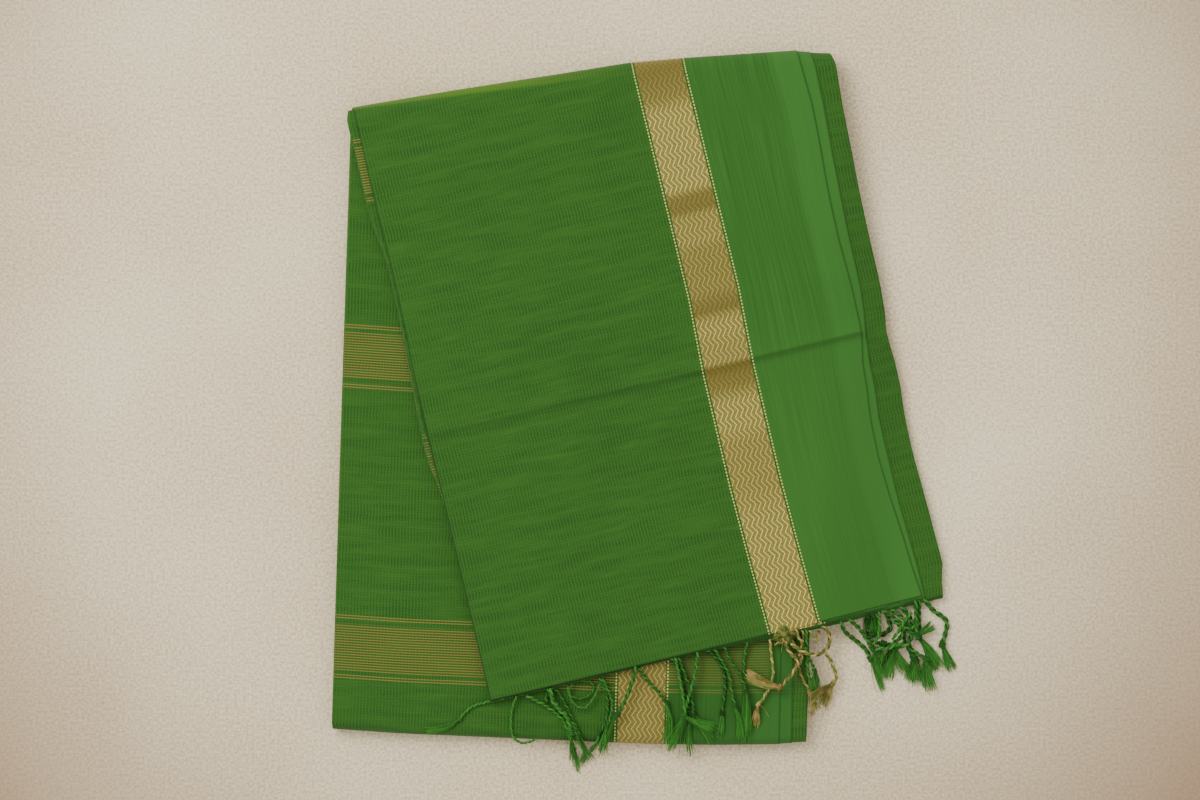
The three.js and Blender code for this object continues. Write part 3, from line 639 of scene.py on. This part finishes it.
# Left tassels: the cloth's own warp ends, dyed the same green, are twisted by hand into two-ply
# cords, knotted, and left loose below the knot as a brush. Each row has the cord's thickness, how
# high it lies over the others, how gilt it is, its way on the plan, and its brushes' spreads and
# ways.
LEFT_TASSELS = [
    (1.5, 0, 0, [(106.5, 20.5), (95.5, 17.5), (87, 15), (81.5, 11), (78.5, 7)],
     [(2, [(71, 2), (58, -1)])]),
    (1.3, 0, 0, [(113.5, 21.5), (111, 15), (110, 8.5), (110, 1), (111.5, -4.5), (116, -8),
                 (121, -7.5), (125.5, -5.5)],
     []),
    (2.0, 0, 0, [(119.5, 21.5), (129, 16.5), (136.5, 11.5), (142.5, 5.5), (145.5, -2)],
     [(2, [(148.5, -12.5), (151, -26.5)])]),
    (2.0, 1, 0, [(132.5, 26), (137.5, 16.5), (143, 10.5), (148, 3), (150.5, -3.5)],
     [(3.5, [(155.5, -13.5), (158.5, -19.5)])]),
    (2.0, 2, 0, [(134.5, 26), (135.5, 18.5), (140, 12.5), (144.5, 7.5), (147, -1)],
     [(2.5, [(147, -11), (147.5, -19.5)])]),
    (1.5, 1, 0, [(131.5, 17.5), (132, 22), (135, 26), (139, 23.5), (142.5, 17.5), (146, 11),
                 (152.5, -3.5)],
     [(2.5, [(156, -12.5), (154, -22)])]),
    (1.2, 2, 0, [(145, 27), (147, 19), (150.5, 15), (155, 14), (159, 17.5), (162.5, 23.5),
                 (166, 31.5)],
     []),
    (1.2, 1, 0, [(148, 28.5), (145, 24.5), (147.5, 21), (152.5, 19.5), (158.5, 22), (161, 26.5),
                 (158, 31)],
     []),
    (1.6, 0, 0, [(164.5, 32.5), (168.5, 23.5), (169.5, 15), (168.5, 6), (164.5, -2)],
     [(2, [(163, -7.5), (158.5, -14)])]),
    (1.6, 2, 0, [(166.5, 32), (172, 18.5), (171.5, 10), (169, 2.5)],
     [(3, [(167, -6), (166.5, -16)])]),
    (2.0, 2, 0, [(187, 39.5), (184.5, 30), (181, 20.5), (176, 10.5)],
     [(2.5, [(171.5, 3.5), (166, -12.5)])]),
    (1.7, 1, 0, [(188, 39), (194.5, 30), (200, 24.5), (205.5, 17.5)],
     [(3, [(207.5, 6), (206.5, -8.5)])]),
    (2.0, 0, 0, [(208, 45.5), (213, 38.5), (215.5, 28.5), (218, 18.5), (220.5, 9.5)],
     [(2.5, [(219.5, -5), (220.5, -16.5)])]),
    (1.8, 1, 0, [(213, 45.5), (216.5, 36), (220.5, 24.5), (222.5, 9.5)],
     [(3, [(227.5, 2), (234, -7)])]),
    (1.8, 2, 0, [(225, 48.5), (223.5, 36), (220.5, 24.5), (218, 16), (216, 8.5)],
     [(3, [(212, -2.5), (208, -13.5)])]),
    (1.6, 2, 0, [(211, 45.5), (213.5, 33.5), (216, 20.5), (217, 8.5)],
     [(3.5, [(225, 5), (235.5, 1)])]),
    (1.7, 0, 0, [(229.5, 50), (235.5, 45.5), (240, 38.5), (242, 29), (241, 18.5), (240, 10.5)],
     [(2.5, [(240, 5), (239.5, -3.5)])]),
    (1.7, 1, 0, [(235, 50.5), (240, 42.5), (244.5, 33.5), (246, 23.5), (248, 15)],
     [(3, [(250.5, 6), (251.5, -5)])]),
    (1.5, 2, 0, [(241, 52), (245.5, 42.5), (250.5, 35), (255, 24.5)],
     [(2.5, [(256, 13.5), (256, -2)])]),
    (1.6, 0, 0, [(255.5, 55.5), (254, 46.5), (253.5, 38.5), (254, 28.5), (254, 23.5)],
     [(3.5, [(254, 11), (253.5, -7)])]),
]

# How cords and threads are laid: lengths in millimetres, and sizes as parts of a cord's radius
OVER_EDGE = 12
ROOT_ZONE = 7
FALL_LENGTH = 16
CORD_FULLNESS = 1.3
CORD_STEP = 0.9
PLY_SIDES = 6
TWIST_TURN = 3.0
THREAD_SIZE = 0.46
THREAD_STEP = 2.4
THREADS_PER_SPREAD = 15
LEAST_SPREAD = 2.5
ROOT_DEPTH = 2.2
ROOT_STEP = 0.3
LEVEL_STEP = 0.8
PLY_OFFSET = 0.5
PLY_SIZE = 0.56
KNOT_STEPS = 26
KNOT_TURNS = 2.5
STRAY = 0.6
FAR_STRAY = 3
FAR_STRAY_SHARE = 0.06
random = np.random.default_rng(4)


def ground(place):
    """Height of what lies under a place: the pad's top, or the floor past its edges."""
    past = np.maximum(place @ pad_across - WIDTH - 1, -(place @ pad_up) - 2)
    return PAD_TOP * (1 - smooth(past, 0, OVER_EDGE))


def smooth_way(points, spacing):
    """A smooth way through points on the plan, at even spacing, with the distance along it."""
    points = np.array(points, float)
    padded = np.vstack([2 * points[0] - points[1], points, 2 * points[-1] - points[-2]])
    at = np.linspace(0, 1, 12, endpoint=False)[:, None]
    pieces = []
    for a, b, c, d in zip(padded, padded[1:], padded[2:], padded[3:]):
        pieces.append(0.5 * (2 * b + (c - a) * at + (2 * a - 5 * b + 4 * c - d) * at**2
                             + (3 * b - a - 3 * c + d) * at**3))
    way = np.vstack(pieces + [points[-1:]])
    run = np.concatenate([[0], np.cumsum(np.linalg.norm(np.diff(way, axis=0), axis=1))])
    along = np.linspace(0, run[-1], max(4, int(run[-1] / spacing)))
    even = np.column_stack([np.interp(along, run, way[:, axis]) for axis in (0, 1)])
    return even, along


def tube(centre, radius, sides):
    """Vertices and faces of a round thread along a way, closed at both ends."""
    ahead = np.gradient(centre, axis=0)
    ahead /= np.linalg.norm(ahead, axis=1)[:, None] + 1e-9
    side = np.cross(ahead, [0.13, 0.21, 0.97])
    side /= np.linalg.norm(side, axis=1)[:, None] + 1e-9
    up = np.cross(side, ahead)
    turns = np.linspace(0, 2 * math.pi, sides, endpoint=False)
    ring = side[:, None] * np.cos(turns)[:, None] + up[:, None] * np.sin(turns)[:, None]
    points = (centre[:, None] + ring * np.reshape(radius, (-1, 1, 1))).reshape(-1, 3)
    count = len(centre)
    first = np.arange((count - 1) * sides)
    beside = first - first % sides + (first + 1) % sides
    quads = np.stack([first, beside, beside + sides, first + sides], axis=1)
    last = (count - 1) * sides
    ends = [tuple(range(sides - 1, -1, -1)), tuple(range(last, last + sides))]
    return points, [tuple(quad) for quad in quads.tolist()] + ends


def add_tassels(name, rows, node, material):
    """One mesh of all the tassels of a group, with each point's shade and how gilt it is."""
    points, faces, shades, gilts = [], [], [], []

    def add_thread(centre, radius, sides, shade, gilt):
        start = sum(len(group) for group in points)
        new_points, new_faces = tube(centre, radius, sides)
        points.append(new_points)
        faces.extend(tuple(start + i for i in face) for face in new_faces)
        shades.append(np.repeat(np.broadcast_to(shade, len(centre)), sides))
        gilts.append(np.full(len(new_points), float(gilt)))

    for thickness, level, gilt, way, brushes in rows:
        thickness = thickness * CORD_FULLNESS
        radius = thickness / 2
        path, along = smooth_way(way, CORD_STEP)
        root_height = FLAP_BOTTOM + FLAP_THICKNESS - ROOT_DEPTH - sag(path[0]) - ROOT_STEP * level
        under = ground(path) + radius + LEVEL_STEP * thickness * level
        if (path[0] - FLAP_CORNER) @ flap_down > ROOT_ZONE:
            root_height = under[0]
        fall = smooth(along, 0, FALL_LENGTH)
        height = np.maximum(root_height * (1 - fall) + under * fall, under)
        centre = np.column_stack([path, height])
        ahead = np.gradient(centre, axis=0)
        ahead /= np.linalg.norm(ahead, axis=1)[:, None]
        side = np.cross(ahead, [0, 0, 1])
        side /= np.linalg.norm(side, axis=1)[:, None]
        up = np.cross(side, ahead)
        tone = random.uniform(0.12, 0.5) + 0.22 * gilt
        for ply in (0, math.pi):
            turn = along / (TWIST_TURN * thickness) * 2 * math.pi + ply
            offset = side * np.cos(turn)[:, None] + up * np.sin(turn)[:, None]
            # Painted shade: each ply is drawn lighter where it twists up on top of the cord and
            # darker where it turns under
            shade = tone + 0.12 * math.cos(ply) + 0.22 * np.sin(turn)
            ply_centre = centre + offset * radius * PLY_OFFSET
            ply_radius = np.full(len(centre), radius * PLY_SIZE)
            add_thread(ply_centre, ply_radius, PLY_SIDES, shade, gilt if ply == 0 else gilt * 0.35)
        if not brushes:
            continue
        # The knot is a few close turns of the cord round itself
        knot_turn = np.linspace(0, KNOT_TURNS * 2 * math.pi, KNOT_STEPS)
        knot_along = np.linspace(-1.0, 1.3, KNOT_STEPS) * radius
        offset = side[-1] * np.cos(knot_turn)[:, None] + up[-1] * np.sin(knot_turn)[:, None]
        knot = centre[-1] + ahead[-1] * knot_along[:, None] + offset * radius * 0.95
        knot[:, 2] = np.maximum(knot[:, 2], ground(knot[:, :2]) + radius * 0.5)
        add_thread(knot, np.full(KNOT_STEPS, radius * 0.5), PLY_SIDES, tone - 0.1, gilt)
        for spread, onward in brushes:
            tips = np.array(onward, float)
            heading = tips[-1] - np.array(way[-1])
            sideways = left_of(heading / np.linalg.norm(heading))
            for thread in range(int(THREADS_PER_SPREAD * max(spread, LEAST_SPREAD))):
                lean = random.uniform(-1, 1)
                reach = random.uniform(0.82, 1.04)
                stray = random.normal(0, STRAY, 2)
                goes_far = random.random() < FAR_STRAY_SHARE
                stray = stray + goes_far * random.normal(0, FAR_STRAY, 2)
                start = way[-1] + random.normal(0, radius * 0.35, 2)
                middle = tips[0] + sideways * lean * spread * 0.5 + stray * 0.5
                tip = start + (tips[-1] - start) * reach + sideways * lean * spread * 0.75 + stray
                strand, run = smooth_way([start, middle, tip], THREAD_STEP)
                base = ground(strand) + THREAD_SIZE / 2
                heap = random.uniform(0, 1.6) * radius * (1 - 0.75 * run / run[-1])
                over = LEVEL_STEP * thickness * level * (1 - 0.6 * run / run[-1])
                centre_line = np.column_stack([strand, base + heap + over + radius * 0.2])
                thin = THREAD_SIZE / 2 * np.linspace(1, 0.55, len(strand))
                shade = random.uniform(0.1, 0.95) + 0.5 * (run / run[-1]) ** 2
                add_thread(centre_line, thin, 3, shade, gilt * random.choice([1, 1, 0.3]))
    vertices = np.concatenate(points) + np.array([*PLAN_ORIGIN, 0])
    mesh = bpy.data.meshes.new(name)
    mesh.from_pydata((vertices / MM_PER_M).tolist(), [], faces)
    mesh.attributes.new("shade", "FLOAT", "POINT").data.foreach_set("value", np.concatenate(shades))
    mesh.attributes.new("gilt", "FLOAT", "POINT").data.foreach_set("value", np.concatenate(gilts))
    mesh.polygons.foreach_set("use_smooth", [True] * len(mesh.polygons))
    mesh.materials.append(material)
    piece = bpy.data.objects.new(name, mesh)
    scene.collection.objects.link(piece)
    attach(piece, "root")
    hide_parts(node)
    return piece


# Twisted cotton yarn, matt, with painted shade that darkens its plies where they turn under, and
# lighter at the brushed-out tips
yarn = bpy.data.materials.new("twisted_cotton_yarn")
yarn.use_nodes = True
yarn.node_tree.nodes.clear()
shade_of = add_node(yarn, "Attribute", attribute_name="shade")["Fac"]
gilt_of = add_node(yarn, "Attribute", attribute_name="gilt")["Fac"]
yarn_place = add_node(yarn, "TexCoord")["Object"]
fibre = noise(yarn, yarn_place, 900, 2)
tone = calc(yarn, "MULTIPLY_ADD", fibre, 0.3, shade_of)
tone = calc(yarn, "SUBTRACT", tone, 0.15, use_clamp=True)
green_yarn = mixed(yarn, tone, "#0f390d", "#489739")
patch = noise(yarn, yarn_place, 260, 1)
patch = ranged(yarn, patch, 0.42, 0.58)
dark_gilt = mixed(yarn, patch, "#3c3e15", "#69481d")
light_gilt = mixed(yarn, patch, "#a0964a", "#d9ba75")
gilt_yarn = mixed(yarn, tone, dark_gilt, light_gilt)
yarn_colour = mixed(yarn, gilt_of, green_yarn, gilt_yarn)
yarn_rough = ranged(yarn, gilt_of, 0, 1, 0.85, 0.55)
yarn_surface = add_node(yarn, "BsdfPrincipled", {
    "Base Color": yarn_colour, "Roughness": yarn_rough, "Specular IOR Level": 0.25,
})[0]
add_node(yarn, "OutputMaterial", {"Surface": yarn_surface})
left_tassels = add_tassels(
    "tassels_left", LEFT_TASSELS, "fringe_left", yarn,
)

# Border tassels: the border's own warp ends, so their cords are gilt thread and brown silk, with
# three green ones among them. They lie over the pad's right edge, in loops and crossings. The last
# row is a tuft of loose gilt thread where they come out.
BORDER_TASSELS = [
    (1.5, 1, 1, [(269.3, 61.7), (269.6, 54.9), (270.2, 48.1), (271.5, 35.8), (270.2, 29.6),
                 (268.1, 24.7), (265.1, 19.4), (262.2, 16)],
     [(3, [(261.3, 11.1), (260.7, 3.1)])]),
    (2, 2, 1, [(277.6, 57.4), (279.5, 52.4), (282.6, 46.9), (286.3, 43.2), (284.4, 37),
               (279.5, 30.9), (275.2, 26.8)],
     [(5, [(267.8, 28.4), (260.4, 32.7), (254.8, 34.2)])]),
    (1.6, 0, 1, [(286.6, 40.7), (289.7, 31.8), (292.5, 26.8), (294, 22.5)],
     [(3, [(296.2, 17.9), (299.2, 12.3)]), (2, [(295.5, 16), (295.5, 8.6)])]),
    (2.1, 3, 1, [(300.8, 65.4), (305.1, 61.1), (306.8, 54.9), (304, 49.2), (298.3, 46.9),
                 (292.5, 47.5), (286.9, 50.3), (282, 53.7)],
     []),
    (1.9, 2, 1, [(303.3, 48.7), (307.6, 42), (309.7, 36.7), (311.2, 31.5), (309.1, 28.4)],
     [(5, [(306, 22.8), (302.9, 14.2)]), (4, [(302.9, 24.1), (295.5, 19.7)])]),
    (1.5, 3, 1, [(285.4, 62.9), (286.9, 58), (289.1, 53.1), (287.5, 45.7)],
     []),
    (1.5, 1, 1, [(293.4, 62.3), (295.5, 58.6), (298.3, 54.9), (299.6, 61.1)],
     []),
    (1.5, 0, 1, [(289.4, 62.3), (290, 55.5), (287.5, 48.1), (283.2, 45)],
     []),
    (1.6, 1, 1, [(272.1, 53.1), (275.2, 54), (278.9, 54.9), (282.6, 56.8)],
     []),
    (1.8, 1, 1, [(281.4, 59.8), (284.4, 53.1), (288.8, 48.1), (288.1, 42), (286.3, 38.9)],
     []),
    (1.8, 0, 0, [(291.8, 62.9), (292.1, 55.5), (292.5, 46.3), (292.8, 37), (295.2, 27.1)],
     [(4, [(297.1, 22.8), (298.6, 19.1)])]),
    (1.7, 2, 0, [(290, 51.8), (294.6, 42.6), (296.8, 37)],
     [(2.5, [(296.5, 30.9), (295.9, 24.7)]), (2.5, [(298.6, 30.9), (298.6, 23.4)])]),
    (1.6, 2, 0, [(283.8, 62.3), (286.3, 57.4), (290.6, 52.4), (293.1, 48.1)],
     []),
    (1.5, 5, 0.6, [(278.3, 60.5), (278.3, 59.8)],
     [(9, [(277, 57.4), (275.8, 54.3)]), (8, [(275.2, 61.1), (272.7, 62.3)]),
      (8, [(280.7, 58.6), (283.2, 55.5)]), (5, [(277.6, 63.6), (276.4, 66.6)])]),
]

border_tassels = add_tassels(
    "tassels_border", BORDER_TASSELS, "fringe_border", yarn,
)

# Right tassels: green cords like the left ones, thicker, lying tangled on the floor past the pad
RIGHT_TASSELS = [
    (2.3, 0, 0, [(313.6, 67.3), (316, 60.7), (322.7, 54.9), (328.9, 49.4), (332.4, 43.4)],
     [(2.5, [(335.6, 35.2), (340.6, 23.4)])]),
    (2.2, 1, 0, [(317.8, 69.1), (325.7, 61.7), (330.1, 54.9), (333.3, 50.1)],
     [(3, [(336.3, 40.7), (340, 30.9)])]),
    (2, 0, 0, [(328.9, 72.2), (329.8, 70.3)],
     [(5, [(331.3, 65.4), (333.5, 56.3)])]),
    (2, 1, 0, [(332.6, 72.8), (333.2, 71)],
     [(5, [(335, 66.6), (335.6, 58.5)])]),
    (1.7, 3, 0, [(337.1, 73.4), (337.6, 65.5), (336.7, 57.8), (334.3, 52.4)],
     []),
    (2.4, 0, 0, [(341.8, 74.7), (343.4, 67.4), (344.8, 62.6), (341, 58.7), (335.2, 57.8),
                 (330.1, 60.5)],
     []),
    (2.2, 2, 0, [(338.7, 74), (345.8, 69.1), (352.5, 64.2), (358.7, 58.7), (361.6, 55.5)],
     []),
    (2.2, 1, 0, [(343.7, 74.7), (349.2, 71), (354.2, 66.6), (357.2, 61.7)],
     []),
    (2.4, 1, 0, [(350.5, 76.5), (355.4, 70.3), (358.2, 64.5), (357.3, 57.8), (355.9, 52),
                 (358.2, 47.3), (360, 43.2)],
     [(6, [(360.6, 35.8), (361.1, 28.1)])]),
    (2.2, 2, 0, [(360.2, 79.6), (360.2, 70.3), (360.6, 62.9), (361.1, 58.6)],
     [(4.5, [(365.9, 61.1), (370.8, 64.5)])]),
    (2.2, 0, 0, [(362.7, 80.2), (362.4, 72.2), (362.5, 64.5), (362.5, 56.8)],
     [(6, [(369, 48.1), (375.1, 37)])]),
    (2.5, 0, 0, [(365.1, 81.1), (370.8, 73.6), (377.5, 68.9), (379.8, 64.5), (378.4, 57.8),
                 (376.8, 52)],
     [(4.5, [(379.5, 44.4), (382.5, 36.4)])]),
    (2.2, 3, 0, [(335, 50), (341.8, 50), (348.6, 52.4), (355.4, 52)],
     []),
    (2.2, 2, 0, [(346.8, 66.6), (351.7, 62.3), (351.1, 57.4), (344.9, 52.4), (340, 53.1)],
     [(5.5, [(338.1, 46.9), (336.3, 40.7)])]),
    (2, 1, 0, [(355.4, 52.4), (350.5, 50.6), (347.4, 49.4)],
     [(5, [(344.9, 40.7), (342.7, 30.9)]), (5, [(349.8, 42.6), (354.2, 35.2)])]),
    (2, 2, 0, [(357.2, 49.4), (361.6, 46.3), (365.9, 43.8)],
     [(5, [(366.5, 35.8), (369, 23.4)])]),
    (2, 0, 0, [(352.9, 60.5), (353.5, 54.3), (356.6, 48.1), (358.5, 43.8)],
     [(5.5, [(357.9, 36.4), (356.6, 30.2)])]),
    (1.8, 3, 0, [(357.2, 72.2), (352.9, 66.6), (349.2, 60.5), (345.5, 55.5)],
     []),
    (2, 0, 0, [(331.3, 55.5), (335.6, 53.7), (340, 52.4), (344.9, 49.4)],
     [(5, [(343.7, 43.2), (340, 35.8)])]),
    (1.8, 2, 0, [(351.1, 58), (354.8, 61.1), (358.5, 62.9), (362.8, 65.4)],
     []),
]

right_tassels = add_tassels(
    "tassels_right", RIGHT_TASSELS, "fringe_right", yarn,
)

# Floor: a plain pale surface under the bundle, matt and slightly mottled, and browner away from
# the bundle, where it gets less light
FLOOR_SIZE = 6
FLOOR_DROP = 0.0005
FINE_MOTTLE = 0.68
BROAD_MOTTLE = 0.6
LIT_CENTRE = (-0.045, 0.07, 0)
LIT_RADIUS = 0.27
DIM_RADIUS = 0.55
bpy.ops.object.select_all(action="DESELECT")
bpy.ops.mesh.primitive_plane_add(size=FLOOR_SIZE, location=(0, 0, -FLOOR_DROP))
floor = bpy.context.object
floor.name = "floor"
plaster = bpy.data.materials.new("pale_floor")
plaster.use_nodes = True
plaster.node_tree.nodes.clear()
floor_place = add_node(plaster, "TexCoord")["Object"]
fine_mottle = noise(plaster, floor_place, 560, 8, 0.72)
broad_mottle = noise(plaster, floor_place, 7, 2)
fine_mottle = ranged(plaster, fine_mottle, 0.4, 0.6)
mottle = calc(plaster, "MULTIPLY", fine_mottle, FINE_MOTTLE)
mottle = calc(plaster, "MULTIPLY_ADD", broad_mottle, BROAD_MOTTLE, mottle)
floor_colour = mixed(plaster, mottle, "#c9a37a", "#fffada")
from_lit = add_node(
    plaster, "VectorMath", {0: floor_place, 1: LIT_CENTRE}, operation="DISTANCE",
)[1]
dim = ranged(
    plaster, from_lit, LIT_RADIUS, DIM_RADIUS, 0, 0.95, interpolation_type="SMOOTHSTEP",
)
floor_colour = mixed(plaster, dim, floor_colour, "#9a7b60")
floor_surface = add_node(
    plaster, "BsdfPrincipled", {"Base Color": floor_colour, "Roughness": 0.9},
)[0]
add_node(plaster, "OutputMaterial", {"Surface": floor_surface})
floor.data.materials.append(plaster)

# Light: one broad soft lamp from the upper left, and an even pale surround
LAMP_PLACE = (-1.3, 1.1, 1.9)
LAMP_TILT = (math.radians(-31), math.radians(-36), 0)
LAMP_SIZE = 1.6
LAMP_POWER = 45.5
SURROUND_STRENGTH = 0.98
bpy.ops.object.select_all(action="DESELECT")
bpy.ops.object.light_add(type="AREA", location=LAMP_PLACE, rotation=(0, 0, 0))
lamp = bpy.context.object
lamp.data.shape = "DISK"
lamp.data.size = LAMP_SIZE
lamp.data.energy = LAMP_POWER
lamp.data.color = (1, 0.965, 0.9)
lamp.rotation_euler = LAMP_TILT
world = bpy.data.worlds.new("pale_surround")
scene.world = world
world.use_nodes = True
surround = world.node_tree.nodes["Background"].inputs
surround["Color"].default_value = linear("#f6f0e6")
surround["Strength"].default_value = SURROUND_STRENGTH
